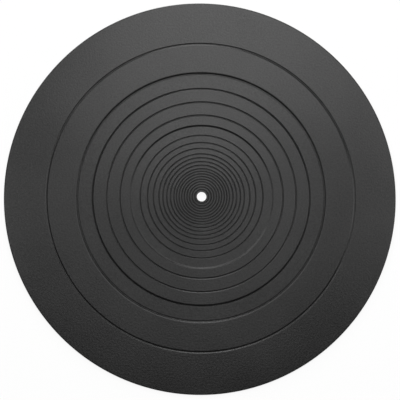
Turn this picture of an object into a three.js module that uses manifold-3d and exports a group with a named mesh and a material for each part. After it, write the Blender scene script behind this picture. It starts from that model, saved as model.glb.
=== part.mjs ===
// A turntable platter mat: one moulded rubber disc that lies loose on the platter and carries the record.
// The spindle comes up through the hole. The record's paper label sits over a shallow recess, and the thick
// edge of a seven-inch record over a ring-shaped channel. Narrow grooves ring the rest of the top, close
// together at the hole and further apart towards the rim. The underside is plain.
// Millimetres, +Z up. The origin is on the axis, in the plane of the underside.

import * as THREE from "three";
import { mergeVertices } from "three/addons/utils/BufferGeometryUtils.js";
import Module from "manifold-3d";

// The disc
const MAT_DIAMETER = 300;
const MAT_THICKNESS = 4;
const RIM_TOP_ROUNDING = 1;
const RIM_BOTTOM_ROUNDING = 0.5;

// The spindle hole
const SPINDLE_HOLE_DIAMETER = 7.3;
const SPINDLE_HOLE_CHAMFER = 0.3;

// The recess under the record's label
const LABEL_RECESS_DIAMETER = 110.4;
const LABEL_RECESS_DEPTH = 0.9;
const LABEL_WALL_RUN = 1.2;

// The channel under a seven-inch record's edge, with a small gutter at the foot of each of its walls. The
// gutters' widths are those of their floors.
const CHANNEL_INNER_DIAMETER = 164.9;
const CHANNEL_OUTER_DIAMETER = 191.5;
const CHANNEL_DEPTH = 0.6;
const CHANNEL_WALL_RUN = 0.85;
const GUTTER_DEPTH = 0.5;
const INNER_GUTTER_WIDTH = 0.1;
const OUTER_GUTTER_WIDTH = 0.45;
const GUTTER_RISE_RUN = 0.5;

// The fine grooves, in even steps outwards from the one next to the hole. A groove's floor is narrower than
// its mouth, by the run of the wall on its inner side and of the one on its outer side.
const FINE_GROOVE_COUNT = 9;
const FIRST_FINE_GROOVE_RADIUS = 5.35;
const FINE_GROOVE_PITCH = 2;
const FINE_GROOVE = { width: 1, innerRun: 0.42, outerRun: 0.42, depth: 0.48 };

// The wider-spaced grooves, by the radius of each one's middle line, or by its distance in from the rim. The
// one near the rim has a gentler wall on its inner side.
const LABEL_GROOVE_RADII = [24, 26.8, 29.75, 32.75, 37, 41.45, 47.05];
const LABEL_GROOVE = { width: 1.1, innerRun: 0.45, outerRun: 0.45, depth: 0.5 };
const MIDDLE_GROOVE_RADII = [62.45, 72.65];
const MIDDLE_GROOVE = { width: 1.45, innerRun: 0.6, outerRun: 0.6, depth: 0.58 };
const RIM_GROOVE_INSET = 32.15;
const RIM_GROOVE = { width: 2, innerRun: 1.1, outerRun: 0.55, depth: 0.58 };

// How finely circles and roundings are drawn, and how far a cutter stands up out of the face that it cuts
const CIRCLE_ERROR = 0.065;
const ROUNDING_STEPS = 2;
const CUTTER_OVERRUN = 0.2;

const wasm = await Module();
wasm.setup();

// The number of straight sides that keeps a circle within CIRCLE_ERROR. It comes in fours, so that the
// circle reaches its full size in X and Y.
function sidesOfCircle(radius) {
  const sides = Math.PI / Math.acos(1 - CIRCLE_ERROR / radius);
  return 4 * Math.ceil(sides / 4);
}

// A closed section in the plane of radius and height, spun about the axis into a solid.
function turned(section) {
  const reach = Math.max(...section.map((point) => point.x));
  const lathe = new THREE.LatheGeometry(section, sidesOfCircle(reach));
  lathe.rotateX(Math.PI / 2);
  lathe.deleteAttribute("normal");
  lathe.deleteAttribute("uv");
  const merged = mergeVertices(lathe);
  return new wasm.Manifold(
    new wasm.Mesh({
      numProp: 3,
      vertProperties: merged.attributes.position.array,
      triVerts: new Uint32Array(merged.index.array),
    }),
  );
}

function points(...pairs) {
  return pairs.map(([radius, height]) => new THREE.Vector2(radius, height));
}

// The plain disc, before anything is cut into it.
function disc() {
  const rim = MAT_DIAMETER / 2;
  const low = RIM_BOTTOM_ROUNDING;
  const high = RIM_TOP_ROUNDING;
  const section = new THREE.Path();
  section.moveTo(0, 0);
  section.lineTo(rim - low, 0);
  section.absarc(rim - low, low, low, -Math.PI / 2, 0);
  section.lineTo(rim, MAT_THICKNESS - high);
  section.absarc(rim - high, MAT_THICKNESS - high, high, 0, Math.PI / 2);
  section.lineTo(0, MAT_THICKNESS);
  return turned(section.getPoints(ROUNDING_STEPS));
}

// The floor of the label recess, and its wall, which slopes outwards on its way up.
function labelRecess() {
  const floor = MAT_THICKNESS - LABEL_RECESS_DEPTH;
  const lip = LABEL_RECESS_DIAMETER / 2;
  const foot = lip - LABEL_WALL_RUN;
  const above = MAT_THICKNESS + CUTTER_OVERRUN;
  return turned(points([0, floor], [foot, floor], [lip, MAT_THICKNESS], [lip, above], [0, above]));
}

// The channel's floor, its two sloping walls, and the gutters at their feet.
function channel() {
  const floor = MAT_THICKNESS - CHANNEL_DEPTH;
  const gutterBottom = floor - GUTTER_DEPTH;
  const above = MAT_THICKNESS + CUTTER_OVERRUN;
  const innerLip = CHANNEL_INNER_DIAMETER / 2;
  const outerLip = CHANNEL_OUTER_DIAMETER / 2;
  const innerFoot = innerLip + CHANNEL_WALL_RUN;
  const outerFoot = outerLip - CHANNEL_WALL_RUN;
  const innerRise = innerFoot + INNER_GUTTER_WIDTH;
  const outerRise = outerFoot - OUTER_GUTTER_WIDTH;
  return turned(
    points(
      [innerFoot, gutterBottom],
      [innerRise, gutterBottom],
      [innerRise + GUTTER_RISE_RUN, floor],
      [outerRise - GUTTER_RISE_RUN, floor],
      [outerRise, gutterBottom],
      [outerFoot, gutterBottom],
      [outerLip, MAT_THICKNESS],
      [outerLip, above],
      [innerLip, above],
      [innerLip, MAT_THICKNESS],
      [innerFoot, gutterBottom],
    ),
  );
}

// The hole for the spindle, chamfered where it meets the underside and the floor of the label recess.
function spindleHole() {
  const radius = SPINDLE_HOLE_DIAMETER / 2;
  const mouth = radius + SPINDLE_HOLE_CHAMFER;
  const floor = MAT_THICKNESS - LABEL_RECESS_DEPTH;
  return turned(
    points(
      [0, -CUTTER_OVERRUN],
      [mouth, -CUTTER_OVERRUN],
      [mouth, 0],
      [radius, SPINDLE_HOLE_CHAMFER],
      [radius, floor - SPINDLE_HOLE_CHAMFER],
      [mouth, floor],
      [mouth, floor + CUTTER_OVERRUN],
      [0, floor + CUTTER_OVERRUN],
    ),
  );
}

// One groove round the axis, cut down from the surface that it lies in.
function groove(radius, { width, innerRun, outerRun, depth }) {
  const surface = radius < LABEL_RECESS_DIAMETER / 2 ? MAT_THICKNESS - LABEL_RECESS_DEPTH : MAT_THICKNESS;
  const bottom = surface - depth;
  const above = surface + CUTTER_OVERRUN;
  const innerLip = radius - width / 2;
  const outerLip = radius + width / 2;
  return turned(
    points(
      [innerLip + innerRun, bottom],
      [outerLip - outerRun, bottom],
      [outerLip, surface],
      [outerLip, above],
      [innerLip, above],
      [innerLip, surface],
      [innerLip + innerRun, bottom],
    ),
  );
}

function grooves() {
  const fineSteps = [...Array(FINE_GROOVE_COUNT).keys()];
  return [
    ...fineSteps.map((step) => groove(FIRST_FINE_GROOVE_RADIUS + step * FINE_GROOVE_PITCH, FINE_GROOVE)),
    ...LABEL_GROOVE_RADII.map((radius) => groove(radius, LABEL_GROOVE)),
    ...MIDDLE_GROOVE_RADII.map((radius) => groove(radius, MIDDLE_GROOVE)),
    groove(MAT_DIAMETER / 2 - RIM_GROOVE_INSET, RIM_GROOVE),
  ];
}

// A solid's vertices and triangles as a geometry that three.js can draw.
function geometryOf(solid) {
  const mesh = solid.getMesh();
  const geometry = new THREE.BufferGeometry();
  geometry.setAttribute("position", new THREE.BufferAttribute(mesh.vertProperties, mesh.numProp));
  geometry.setIndex(new THREE.BufferAttribute(mesh.triVerts, 1));
  const faceted = geometry.toNonIndexed();
  faceted.computeVertexNormals();
  return faceted;
}

function platterMat() {
  const cutters = [labelRecess(), channel(), spindleHole(), ...grooves()];
  const solid = cutters.reduce((rest, cutter) => rest.subtract(cutter), disc());
  const blackRubber = new THREE.MeshStandardMaterial({ color: 0x3d3d3d, roughness: 0.6, metalness: 0 });
  const mesh = new THREE.Mesh(geometryOf(solid), blackRubber);
  mesh.name = "platter_mat";
  return mesh;
}

const mat = new THREE.Group();
mat.add(platterMat());

export default mat;
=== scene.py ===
import math

import bpy
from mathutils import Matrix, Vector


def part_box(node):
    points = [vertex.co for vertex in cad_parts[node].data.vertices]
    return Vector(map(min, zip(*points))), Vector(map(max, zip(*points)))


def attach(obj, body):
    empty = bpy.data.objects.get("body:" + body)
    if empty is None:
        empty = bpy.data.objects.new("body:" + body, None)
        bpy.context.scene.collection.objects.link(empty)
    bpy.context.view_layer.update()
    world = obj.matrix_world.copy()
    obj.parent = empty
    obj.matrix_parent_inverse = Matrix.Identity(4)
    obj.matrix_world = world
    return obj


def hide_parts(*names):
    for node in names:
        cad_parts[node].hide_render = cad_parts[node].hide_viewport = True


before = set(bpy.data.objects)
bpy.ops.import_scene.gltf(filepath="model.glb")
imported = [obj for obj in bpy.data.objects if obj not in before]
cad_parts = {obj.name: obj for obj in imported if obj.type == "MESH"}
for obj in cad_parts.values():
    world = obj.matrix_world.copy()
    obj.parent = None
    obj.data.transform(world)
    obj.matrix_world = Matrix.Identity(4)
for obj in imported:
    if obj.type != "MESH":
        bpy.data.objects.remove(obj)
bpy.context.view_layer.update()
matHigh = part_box("platter_mat")[1]
mm = 0.001


def addSocket(tree, name, kind, value=None, side="INPUT"):
    socket = tree.interface.new_socket(name, in_out=side, socket_type=kind)
    if value is not None:
        socket.default_value = value


def addNode(tree, kind, inputs=None, **settings):
    node = tree.nodes.new(kind)
    for key, value in settings.items():
        setattr(node, key, value)
    for key, value in (inputs or {}).items():
        if isinstance(value, bpy.types.NodeSocket):
            tree.links.new(value, node.inputs[key])
        else:
            node.inputs[key].default_value = value
    return node


def addMath(tree, operation, *values):
    return addNode(tree, "ShaderNodeMath", dict(enumerate(values)), operation=operation).outputs[0]


# Spreads the nodes out from left to right, by how far each is from the start.
def tidyTree(tree):
    columnWidth, rowHeight = 220, 190
    depth = {node: 0 for node in tree.nodes}
    for _ in tree.nodes:
        for link in tree.links:
            depth[link.to_node] = max(depth[link.to_node], depth[link.from_node] + 1)
    rows = {}
    for node, column in depth.items():
        rows[column] = rows.get(column, 0) + 1
        node.location = (columnWidth * column, -rowHeight * rows[column])


# The mat
mat = {
    "rim": matHigh.x,
    "top": matHigh.z,
    "rimRounding": 1.0 * mm,
    "footRounding": 0.5 * mm,
    "skirtTop": 1.0 * mm,
    "hole": 3.65 * mm,  # a radius, as the label's lip and the channel's two edges are
    "holeRounding": 0.3 * mm,
    "labelLip": 55.2 * mm,
    "labelDepth": 0.9 * mm,
    "labelRun": 1.2 * mm,
    "labelFoot": 0.9 * mm,
    "labelLipRounding": 0.3 * mm,
    "channelInner": 82.45 * mm,
    "channelOuter": 95.75 * mm,
    "channelDepth": 0.6 * mm,
    "channelRun": 0.85 * mm,
    "channelLipRounding": 1.3 * mm,
    "gutterDepth": 0.5 * mm,
    "innerGutterWidth": 0.1 * mm,
    "outerGutterWidth": 0.45 * mm,
    "gutterRun": 0.5 * mm,
    "gutterFillet": 0.15 * mm,
    "sides": 192,
    "edgeSteps": 3,  # straight pieces in each rounding
}

fineRings = {
    "count": 9,
    "first": 5.35 * mm,  # radius of the middle of the one next to the hole
    "pitch": 2.0 * mm,
    "width": 1.0 * mm,
    "innerRun": 0.42 * mm,
    "outerRun": 0.42 * mm,
    "depth": 0.48 * mm,
    "rounding": 0.1 * mm,
}


# One groove's section in millimetres: how wide its mouth is, how far its two walls run inwards on their way
# down, how deep it is, and how round its corners are.
def ringShape(width, innerRun, outerRun, depth, rounding):
    shape = {"width": width, "innerRun": innerRun, "outerRun": outerRun, "depth": depth, "rounding": rounding}
    return {name: value * mm for name, value in shape.items()}


wideRings = {
    "labelRadii": (24.0, 26.8, 29.75, 32.75, 37.0, 41.45, 47.05),  # of the middle lines, in millimetres
    "labelShape": ringShape(1.1, 0.45, 0.45, 0.5, 0.12),
    "middleRadii": (62.45, 72.65),
    "middleShape": ringShape(1.45, 0.6, 0.6, 0.58, 0.25),
    "rimInset": 32.15 * mm,
    "rimShape": ringShape(2.0, 1.1, 0.55, 0.58, 0.4),
}


# Radius, height and rounding of each corner, once round the section from the hole's upper edge.
def sectionCorners():
    top = mat["top"]
    floor = top - mat["labelDepth"]
    channelFloor = top - mat["channelDepth"]
    gutter = channelFloor - mat["gutterDepth"]
    innerFoot = mat["channelInner"] + mat["channelRun"]
    outerFoot = mat["channelOuter"] - mat["channelRun"]
    lip = mat["channelLipRounding"]
    foot = mat["gutterFillet"]
    innerRise = innerFoot + mat["innerGutterWidth"]
    outerRise = outerFoot - mat["outerGutterWidth"]
    return [
        (mat["hole"], floor, mat["holeRounding"]),
        (mat["labelLip"] - mat["labelRun"], floor, mat["labelFoot"]),
        (mat["labelLip"], top, mat["labelLipRounding"]),
        (mat["channelInner"], top, lip),
        (innerFoot, gutter, foot),
        (innerRise, gutter, foot),
        (innerRise + mat["gutterRun"], channelFloor, foot),
        (outerRise - mat["gutterRun"], channelFloor, foot),
        (outerRise, gutter, foot),
        (outerFoot, gutter, foot),
        (mat["channelOuter"], top, lip),
        (mat["rim"], top, mat["rimRounding"]),
        (mat["rim"], 0, mat["footRounding"]),
        (mat["hole"], 0, mat["holeRounding"]),
    ]


# Radius, height and shape of each ring that isn't one of the evenly spaced fine ones.
def wideRingSeeds():
    top = mat["top"]
    floor = top - mat["labelDepth"]
    seeds = [(r * mm, floor, wideRings["labelShape"]) for r in wideRings["labelRadii"]]
    seeds += [(r * mm, top, wideRings["middleShape"]) for r in wideRings["middleRadii"]]
    seeds.append((mat["rim"] - wideRings["rimInset"], top, wideRings["rimShape"]))
    return seeds


# Bare points in the plane of radius (X) and height (Z), which the tree joins into the section. It takes them
# in order of radius plus turn. The turn puts the last three, at the rim and back below, after all the others.
def makeSeedMesh():
    corners = sectionCorners()
    rings = wideRingSeeds()
    wayBack = 3
    mesh = bpy.data.meshes.new("platterMat")
    mesh.from_pydata([(r, 0, z) for r, z, _ in corners] + [(r, 0, z) for r, z, _ in rings], [], [])
    lastOnes = range(len(corners) - wayBack, len(corners))
    columns = {
        "turn": [float(i + 1) if i in lastOnes else 0.0 for i in range(len(corners))] + [0.0] * len(rings),
        "rounding": [soft for _, _, soft in corners] + [shape["rounding"] for _, _, shape in rings],
        "halfWidth": [0.0] * len(corners) + [shape["width"] / 2 for _, _, shape in rings],
        "innerRun": [0.0] * len(corners) + [shape["innerRun"] for _, _, shape in rings],
        "outerRun": [0.0] * len(corners) + [shape["outerRun"] for _, _, shape in rings],
        "depth": [0.0] * len(corners) + [shape["depth"] for _, _, shape in rings],
    }
    for name, values in columns.items():
        mesh.attributes.new(name, "FLOAT", "POINT").data.foreach_set("value", values)
    return mesh


def storeValue(tree, geometry, name, value):
    fields = {"Geometry": geometry, "Name": name, "Value": value}
    return addNode(tree, "GeometryNodeStoreNamedAttribute", fields, data_type="FLOAT").outputs[0]


def readValue(tree, name):
    return addNode(tree, "GeometryNodeInputNamedAttribute", {"Name": name}, data_type="FLOAT").outputs[0]


# One point for each fine ring, evenly spaced out from the hole.
def fineRingSeeds(tree, given):
    fields = {"X": given["First Fine Ring"], "Z": given["Fine Ring Floor"]}
    start = addNode(tree, "ShaderNodeCombineXYZ", fields)
    step = addNode(tree, "ShaderNodeCombineXYZ", {"X": given["Fine Ring Pitch"]})
    fields = {"Count": given["Fine Rings"], "Start Location": start.outputs[0], "Offset": step.outputs[0]}
    seeds = addNode(tree, "GeometryNodeMeshLine", fields).outputs[0]
    seeds = storeValue(tree, seeds, "halfWidth", addMath(tree, "DIVIDE", given["Fine Ring Width"], 2.0))
    seeds = storeValue(tree, seeds, "innerRun", given["Fine Ring Inner Run"])
    seeds = storeValue(tree, seeds, "outerRun", given["Fine Ring Outer Run"])
    seeds = storeValue(tree, seeds, "depth", given["Fine Ring Depth"])
    return storeValue(tree, seeds, "rounding", given["Fine Ring Rounding"])


# Each ring's seed becomes its inner lip, the two edges of its floor, and its outer lip. Counted from the
# ring's middle, their places are -1.5, -0.5, 0.5 and 1.5, so those below 1 either way are at the floor.
def ringPoints(tree, seeds):
    pointsPerRing = 4
    points = addNode(tree, "GeometryNodeMeshToPoints", {"Mesh": seeds}).outputs[0]
    fields = {"Geometry": points, "Amount": pointsPerRing}
    copies = addNode(tree, "GeometryNodeDuplicateElements", fields, domain="POINT")
    middle = (pointsPerRing - 1) / 2
    place = addMath(tree, "SUBTRACT", copies.outputs["Duplicate Index"], middle)
    atFloor = addMath(tree, "LESS_THAN", addMath(tree, "ABSOLUTE", place), 1.0)
    outside = addMath(tree, "GREATER_THAN", place, 0.0)
    difference = addMath(tree, "SUBTRACT", readValue(tree, "outerRun"), readValue(tree, "innerRun"))
    run = addMath(tree, "MULTIPLY_ADD", outside, difference, readValue(tree, "innerRun"))
    inset = addMath(tree, "MULTIPLY", atFloor, run)
    reach = addMath(tree, "SUBTRACT", readValue(tree, "halfWidth"), inset)
    out = addMath(tree, "MULTIPLY", addMath(tree, "SIGN", place), reach)
    down = addMath(tree, "MULTIPLY", addMath(tree, "MULTIPLY", atFloor, readValue(tree, "depth")), -1.0)
    move = addNode(tree, "ShaderNodeCombineXYZ", {"X": out, "Z": down}).outputs[0]
    fields = {"Geometry": copies.outputs[0], "Offset": move}
    return addNode(tree, "GeometryNodeSetPosition", fields).outputs[0]


# All points in order, from the hole out over the top and back below.
def closedSection(tree, corners, rings, steps):
    points = addNode(tree, "GeometryNodeMeshToPoints", {"Mesh": corners}).outputs[0]
    joined = addNode(tree, "GeometryNodeJoinGeometry")
    tree.links.new(rings, joined.inputs[0])
    tree.links.new(points, joined.inputs[0])
    place = addNode(tree, "GeometryNodeInputPosition").outputs[0]
    radius = addNode(tree, "ShaderNodeSeparateXYZ", {0: place}).outputs["X"]
    order = addMath(tree, "ADD", radius, readValue(tree, "turn"))
    fields = {"Points": joined.outputs[0], "Weight": order}
    line = addNode(tree, "GeometryNodePointsToCurves", fields).outputs[0]
    loop = addNode(tree, "GeometryNodeSetSplineCyclic", {"Geometry": line, "Cyclic": True}).outputs[0]
    fields = {"Curve": loop, "Count": steps, "Radius": readValue(tree, "rounding"), "Limit Radius": True}
    return addNode(tree, "GeometryNodeFilletCurve", fields, mode="POLY").outputs[0]


# Carries the section round a circle whose radius cancels out.
def spunAbout(tree, section, sides, radius):
    fields = {"Resolution": sides, "Radius": radius}
    circle = addNode(tree, "GeometryNodeCurvePrimitiveCircle", fields).outputs[0]
    circle = addNode(tree, "GeometryNodeSetCurveNormal", {"Curve": circle}, mode="Z_UP").outputs[0]
    place = addNode(tree, "GeometryNodeInputPosition").outputs[0]
    parts = addNode(tree, "ShaderNodeSeparateXYZ", {0: place})
    across = addMath(tree, "SUBTRACT", parts.outputs["X"], radius)
    downwards = addMath(tree, "MULTIPLY", parts.outputs["Z"], -1.0)
    laidDown = addNode(tree, "ShaderNodeCombineXYZ", {"X": across, "Y": downwards}).outputs[0]
    laid = addNode(tree, "GeometryNodeSetPosition", {"Geometry": section, "Position": laidDown}).outputs[0]
    return addNode(tree, "GeometryNodeCurveToMesh", {"Curve": circle, "Profile Curve": laid}).outputs[0]


def buildMatTree():
    tree = bpy.data.node_groups.new("turnedMat", "GeometryNodeTree")
    addSocket(tree, "Geometry", "NodeSocketGeometry", side="OUTPUT")
    addSocket(tree, "Geometry", "NodeSocketGeometry")
    for name in ("Sides", "Edge Steps", "Fine Rings"):
        addSocket(tree, name, "NodeSocketInt", 8)
    lengths = ("Circle Radius", "First Fine Ring", "Fine Ring Pitch", "Fine Ring Floor", "Fine Ring Width",
               "Fine Ring Inner Run", "Fine Ring Outer Run", "Fine Ring Depth", "Fine Ring Rounding",
               "Skirt Height")
    for name in lengths:
        addSocket(tree, name, "NodeSocketFloat", mm)
    for name in ("Face Material", "Skirt Material"):
        addSocket(tree, name, "NodeSocketMaterial")
    given = addNode(tree, "NodeGroupInput").outputs
    fields = {0: readValue(tree, "depth"), 1: 0.0}
    isRing = addNode(tree, "FunctionNodeCompare", fields, operation="GREATER_THAN").outputs[0]
    fields = {"Geometry": given["Geometry"], "Selection": isRing}
    parted = addNode(tree, "GeometryNodeSeparateGeometry", fields, domain="POINT")
    seeds = addNode(tree, "GeometryNodeJoinGeometry")
    tree.links.new(fineRingSeeds(tree, given), seeds.inputs[0])
    tree.links.new(parted.outputs["Selection"], seeds.inputs[0])
    rings = ringPoints(tree, seeds.outputs[0])
    section = closedSection(tree, parted.outputs["Inverted"], rings, given["Edge Steps"])
    body = spunAbout(tree, section, given["Sides"], given["Circle Radius"])
    shadeAndFinish(tree, body, given)
    tidyTree(tree)
    return tree


# Level faces stay flat-shaded, so that the lands don't take a false bulge. The faces below the skirt height,
# which are the underside and the roundings at its edges, take the skirt's material.
def shadeAndFinish(tree, body, given):
    level = 0.9999  # how far up or down a level face points, of 1
    normal = addNode(tree, "GeometryNodeInputNormal").outputs["True Normal"]
    upness = addMath(tree, "ABSOLUTE", addNode(tree, "ShaderNodeSeparateXYZ", {0: normal}).outputs["Z"])
    fields = {0: upness, 1: level}
    sloping = addNode(tree, "FunctionNodeCompare", fields, operation="LESS_THAN").outputs[0]
    fields = {"Geometry": body, "Shade Smooth": sloping}
    shaded = addNode(tree, "GeometryNodeSetShadeSmooth", fields, domain="FACE").outputs[0]
    whole = addNode(tree, "GeometryNodeRealizeInstances", {"Geometry": shaded}).outputs[0]
    fields = {"Geometry": whole, "Material": given["Face Material"]}
    faced = addNode(tree, "GeometryNodeSetMaterial", fields)
    place = addNode(tree, "GeometryNodeInputPosition").outputs[0]
    height = addNode(tree, "ShaderNodeSeparateXYZ", {0: place}).outputs["Z"]
    fields = {0: height, 1: given["Skirt Height"]}
    below = addNode(tree, "FunctionNodeCompare", fields, operation="LESS_THAN").outputs[0]
    fields = {"Geometry": faced.outputs[0], "Selection": below, "Material": given["Skirt Material"]}
    skirted = addNode(tree, "GeometryNodeSetMaterial", fields)
    addNode(tree, "NodeGroupOutput", {0: skirted.outputs[0]})


def setInputs(modifier, values):
    for item in modifier.node_group.interface.items_tree:
        if item.in_out == "INPUT" and item.name in values:
            modifier[item.identifier] = values[item.name]


# Keeps the evaluated mesh and drops the modifiers.
def asPlainMesh(piece):
    depsgraph = bpy.context.evaluated_depsgraph_get()
    finished = bpy.data.meshes.new_from_object(piece.evaluated_get(depsgraph), depsgraph=depsgraph)
    piece.modifiers.clear()
    seeds = piece.data
    piece.data = finished
    bpy.data.meshes.remove(seeds)
    finished.name = piece.name


def makeMat(faceMaterial, skirtMaterial):
    piece = bpy.data.objects.new("platterMat", makeSeedMesh())
    bpy.context.scene.collection.objects.link(piece)
    modifier = piece.modifiers.new("turnedMat", "NODES")
    modifier.node_group = buildMatTree()
    setInputs(modifier, {
        "Sides": mat["sides"],
        "Edge Steps": mat["edgeSteps"],
        "Circle Radius": mat["rim"] / 2,
        "Fine Rings": fineRings["count"],
        "First Fine Ring": fineRings["first"],
        "Fine Ring Pitch": fineRings["pitch"],
        "Fine Ring Floor": mat["top"] - mat["labelDepth"],
        "Fine Ring Width": fineRings["width"],
        "Fine Ring Inner Run": fineRings["innerRun"],
        "Fine Ring Outer Run": fineRings["outerRun"],
        "Fine Ring Depth": fineRings["depth"],
        "Fine Ring Rounding": fineRings["rounding"],
        "Skirt Height": mat["skirtTop"],
        "Face Material": faceMaterial,
        "Skirt Material": skirtMaterial,
    })
    asPlainMesh(piece)
    return piece


# The rubber
rubber = {
    "dark": (0.001, 0.001, 0.001),
    "light": (0.018, 0.018, 0.018),
    "darkShade": 0.3,  # the shades at which the two colours are reached
    "lightShade": 0.7,
    "specular": 0.42,
    "face": {"roughness": 0.32, "lean": 0.065, "rimLean": 0.1, "lineDepth": 0.006 * mm},
    "skirt": {"roughness": 0.6, "lean": 0.0, "rimLean": 0.0, "lineDepth": 0.0},
    "leanPower": 4.0,  # how late, on the way out, the lean grows to the rim's
    "linePitch": 0.9 * mm,
    "lineDetail": 2.0,
    "grainSize": 1.3 * mm,
    "grainDepth": 0.1 * mm,
    "grainDetail": 2.0,
    "cloudSize": 45 * mm,
    "cloudDetail": 3.0,
    "cloudShare": 0.3,
}


# The face of the mould: turned lines, their lean outwards, which grows towards the rim, a fine grain, and
# a shade from 0 to 1 that mixes the grain with wide clouds.
def buildGrainGroup():
    tree = bpy.data.node_groups.new("mouldGrain", "ShaderNodeTree")
    lengths = ("Rim Radius", "Line Pitch", "Line Depth", "Grain Size", "Grain Depth", "Cloud Size")
    for name in ("Lean", "Rim Lean", "Cloud Share", *lengths):
        addSocket(tree, name, "NodeSocketFloat")
    addSocket(tree, "Height", "NodeSocketFloat", side="OUTPUT")
    addSocket(tree, "Shade", "NodeSocketFloat", side="OUTPUT")
    given = addNode(tree, "NodeGroupInput").outputs
    place = addNode(tree, "ShaderNodeTexCoord").outputs["Object"]
    flat = addNode(tree, "ShaderNodeVectorMath", {0: place, 1: (1, 1, 0)}, operation="MULTIPLY").outputs[0]
    radius = addNode(tree, "ShaderNodeVectorMath", {0: flat}, operation="LENGTH").outputs["Value"]
    turns = addMath(tree, "DIVIDE", radius, given["Line Pitch"])
    fields = {"W": turns, "Scale": 1.0, "Detail": rubber["lineDetail"]}
    lines = addNode(tree, "ShaderNodeTexNoise", fields, noise_dimensions="1D").outputs["Fac"]
    grainScale = addMath(tree, "DIVIDE", 1.0, given["Grain Size"])
    fields = {"Vector": place, "Scale": grainScale, "Detail": rubber["grainDetail"]}
    grain = addNode(tree, "ShaderNodeTexNoise", fields).outputs["Fac"]
    cloudScale = addMath(tree, "DIVIDE", 1.0, given["Cloud Size"])
    fields = {"Vector": place, "Scale": cloudScale, "Detail": rubber["cloudDetail"]}
    cloud = addNode(tree, "ShaderNodeTexNoise", fields).outputs["Fac"]
    height = addMath(tree, "MULTIPLY", lines, given["Line Depth"])
    height = addMath(tree, "MULTIPLY_ADD", grain, given["Grain Depth"], height)
    height = addMath(tree, "SUBTRACT", height, leanDrop(tree, given, radius))
    fields = {"Factor": given["Cloud Share"], "A": grain, "B": cloud}
    shade = addNode(tree, "ShaderNodeMix", fields, data_type="FLOAT").outputs["Result"]
    addNode(tree, "NodeGroupOutput", {"Height": height, "Shade": shade})
    tidyTree(tree)
    return tree


# How far the leaning face has dropped at a radius. Its slope is the lean, plus a share of the rim's extra
# lean that grows with a power of the radius. Summed up from the middle, that share is divided by the power
# plus one.
def leanDrop(tree, given, radius):
    power = rubber["leanPower"]
    extra = addMath(tree, "SUBTRACT", given["Rim Lean"], given["Lean"])
    out = addMath(tree, "POWER", addMath(tree, "DIVIDE", radius, given["Rim Radius"]), power)
    share = addMath(tree, "MULTIPLY", out, 1 / (power + 1))
    slope = addMath(tree, "MULTIPLY_ADD", share, extra, given["Lean"])
    return addMath(tree, "MULTIPLY", radius, slope)


def makeRubber(name, grainGroup, finish):
    material = bpy.data.materials.new(name)
    material.use_nodes = True
    tree = material.node_tree
    tree.nodes.clear()
    values = {
        "Lean": finish["lean"],
        "Rim Lean": finish["rimLean"],
        "Rim Radius": mat["rim"],
        "Line Pitch": rubber["linePitch"],
        "Line Depth": finish["lineDepth"],
        "Grain Size": rubber["grainSize"],
        "Grain Depth": rubber["grainDepth"],
        "Cloud Size": rubber["cloudSize"],
        "Cloud Share": rubber["cloudShare"],
    }
    surface = tree.nodes.new("ShaderNodeGroup")
    surface.node_tree = grainGroup
    for key, value in values.items():
        surface.inputs[key].default_value = value
    ramp = addNode(tree, "ShaderNodeValToRGB", {"Fac": surface.outputs["Shade"]})
    darkEnd, lightEnd = ramp.color_ramp.elements
    darkEnd.position = rubber["darkShade"]
    darkEnd.color = (*rubber["dark"], 1)
    lightEnd.position = rubber["lightShade"]
    lightEnd.color = (*rubber["light"], 1)
    fields = {"Height": surface.outputs["Height"], "Strength": 1.0, "Distance": 1.0}
    bump = addNode(tree, "ShaderNodeBump", fields)
    fields = {
        "Base Color": ramp.outputs["Color"],
        "Roughness": finish["roughness"],
        "Normal": bump.outputs["Normal"],
    }
    shader = addNode(tree, "ShaderNodeBsdfPrincipled", fields)
    shader.inputs["Specular IOR Level"].default_value = rubber["specular"]
    addNode(tree, "ShaderNodeOutputMaterial", {"Surface": shader.outputs[0]})
    tidyTree(tree)
    return material


# The floor, the light and the camera
studio = {
    "floorSize": 40.0,
    "floorDrop": 0.1 * mm,
    "floorTone": 0.95,
    "floorRoughness": 0.9,
    "floorGlow": 0.9,
    "worldStrength": 0.02,
}


# The floor takes shadows like any pale floor, but is mostly plain white to the rays that only look at it.
# It lies a hair below the mat, so that their faces don't share a plane.
def makeFloor():
    half = studio["floorSize"] / 2
    mesh = bpy.data.meshes.new("studioFloor")
    low = -studio["floorDrop"]
    corners = [(-half, -half, low), (half, -half, low), (half, half, low), (-half, half, low)]
    mesh.from_pydata(corners, [], [(0, 1, 2, 3)])
    floor = bpy.data.objects.new("studioFloor", mesh)
    bpy.context.scene.collection.objects.link(floor)
    mesh.materials.append(makeFloorPaint())


def makeFloorPaint():
    material = bpy.data.materials.new("paleFloor")
    material.use_nodes = True
    tree = material.node_tree
    tree.nodes.clear()
    tone = (studio["floorTone"],) * 3 + (1,)
    fields = {"Base Color": tone, "Roughness": studio["floorRoughness"]}
    paint = addNode(tree, "ShaderNodeBsdfPrincipled", fields)
    white = addNode(tree, "ShaderNodeEmission", {"Strength": 1.0})
    rays = addNode(tree, "ShaderNodeLightPath").outputs
    looking = addMath(tree, "MAXIMUM", rays["Is Camera Ray"], rays["Is Glossy Ray"])
    looking = addMath(tree, "MAXIMUM", looking, rays["Is Transmission Ray"])
    share = addMath(tree, "MULTIPLY", looking, studio["floorGlow"])
    fields = {0: share, 1: paint.outputs[0], 2: white.outputs[0]}
    mixed = addNode(tree, "ShaderNodeMixShader", fields)
    addNode(tree, "ShaderNodeOutputMaterial", {"Surface": mixed.outputs[0]})
    tidyTree(tree)
    return material


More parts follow.
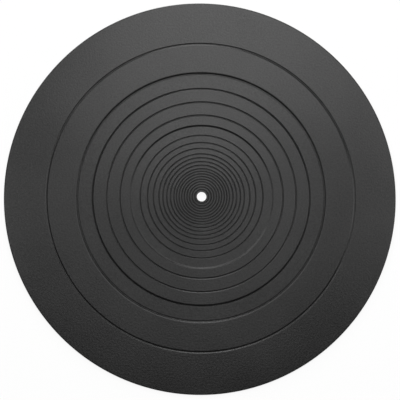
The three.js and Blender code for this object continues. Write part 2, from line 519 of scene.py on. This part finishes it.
def makeWorld():
    world = bpy.data.worlds.new("studio")
    world.use_nodes = True
    back = world.node_tree.nodes["Background"]
    back.inputs["Color"].default_value = (1, 1, 1, 1)
    back.inputs["Strength"].default_value = studio["worldStrength"]
    bpy.context.scene.world = world


# Each box hangs at an angle from straight up and in a compass direction, counted from +X towards +Y, and
# faces the mat's centre. Its level is the light that falls on a card turned to it at the mat.
softBoxes = {
    "ceilingFar": {"fromUp": 20.6, "compass": 90, "distance": 1.71, "size": (1.2, 0.5), "level": 0.63},
    "ceilingNear": {"fromUp": 15.7, "compass": 270, "distance": 1.66, "size": (0.9, 0.4), "level": 0.15},
    "ceilingRight": {"fromUp": 12, "compass": 0, "distance": 1.6, "size": (0.6, 0.6), "level": 0.22},
    "ceilingLeft": {"fromUp": 12, "compass": 180, "distance": 1.6, "size": (0.6, 0.6), "level": 0.17},
    "far": {"fromUp": 40, "compass": 90, "distance": 1.6, "size": (0.8, 0.5), "level": 0.65},
    "farRight": {"fromUp": 40, "compass": 45, "distance": 1.6, "size": (0.8, 0.5), "level": 0.46},
    "right": {"fromUp": 40, "compass": 0, "distance": 1.6, "size": (0.8, 0.5), "level": 0.33},
    "left": {"fromUp": 40, "compass": 180, "distance": 1.6, "size": (0.8, 0.5), "level": 0.47},
    "farLeft": {"fromUp": 55, "compass": 135, "distance": 1.6, "size": (0.8, 0.5), "level": 0.53},
    "lowFar": {"fromUp": 70, "compass": 90, "distance": 1.6, "size": (0.8, 0.5), "level": 0.9},
    "lowRight": {"fromUp": 70, "compass": 0, "distance": 1.6, "size": (0.8, 0.5), "level": 0.4},
}


def makeSoftBox(name, box):
    lamp = bpy.data.lights.new(name, "AREA")
    lamp.shape = "RECTANGLE"
    lamp.size, lamp.size_y = box["size"]
    lamp.energy = box["level"] * math.pi * box["distance"] ** 2
    holder = bpy.data.objects.new(name, lamp)
    fromUp = math.radians(box["fromUp"])
    compass = math.radians(box["compass"])
    away = (math.sin(fromUp) * math.cos(compass), math.sin(fromUp) * math.sin(compass), math.cos(fromUp))
    holder.location = [part * box["distance"] for part in away]
    holder.rotation_euler = holder.location.to_track_quat("Z", "Y").to_euler()
    bpy.context.scene.collection.objects.link(holder)


camera = {
    "lens": 72.0,
    "sensorWidth": 36.0,
    "clipStart": 0.01,
    "distance": 0.61074,
    "tilt": 3.863,
    "side": 234.45,
    "aim": (-0.001311, -0.002636),
}


def makeCamera():
    lens = bpy.data.cameras.new("overhead")
    lens.lens = camera["lens"]
    lens.sensor_width = camera["sensorWidth"]
    lens.clip_start = camera["clipStart"]
    holder = bpy.data.objects.new("overhead", lens)
    tilt = math.radians(camera["tilt"])
    side = math.radians(camera["side"])
    target = (*camera["aim"], mat["top"])
    away = (math.sin(tilt) * math.cos(side), math.sin(tilt) * math.sin(side), math.cos(tilt))
    holder.location = [t + a * camera["distance"] for t, a in zip(target, away)]
    holder.rotation_euler = lookDown(away)
    bpy.context.scene.collection.objects.link(holder)
    bpy.context.scene.camera = holder


# Tips a camera that looks straight down about X, then about Y, so that +Y stays up the picture.
def lookDown(away):
    x, y, z = away
    return (math.atan2(-y, math.hypot(x, z)), math.atan2(x, z), 0)


grainGroup = buildGrainGroup()
faceRubber = makeRubber("turnedRubber", grainGroup, rubber["face"])
skirtRubber = makeRubber("plainRubber", grainGroup, rubber["skirt"])
print("materials ready")

platterMat = makeMat(faceRubber, skirtRubber)
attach(platterMat, "root")
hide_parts("platter_mat")
print("mat ready:", len(platterMat.data.polygons), "faces")

makeFloor()
makeWorld()
for boxName, softBox in softBoxes.items():
    makeSoftBox(boxName, softBox)
makeCamera()
bpy.context.scene.view_settings.view_transform = "Standard"
print("studio ready")
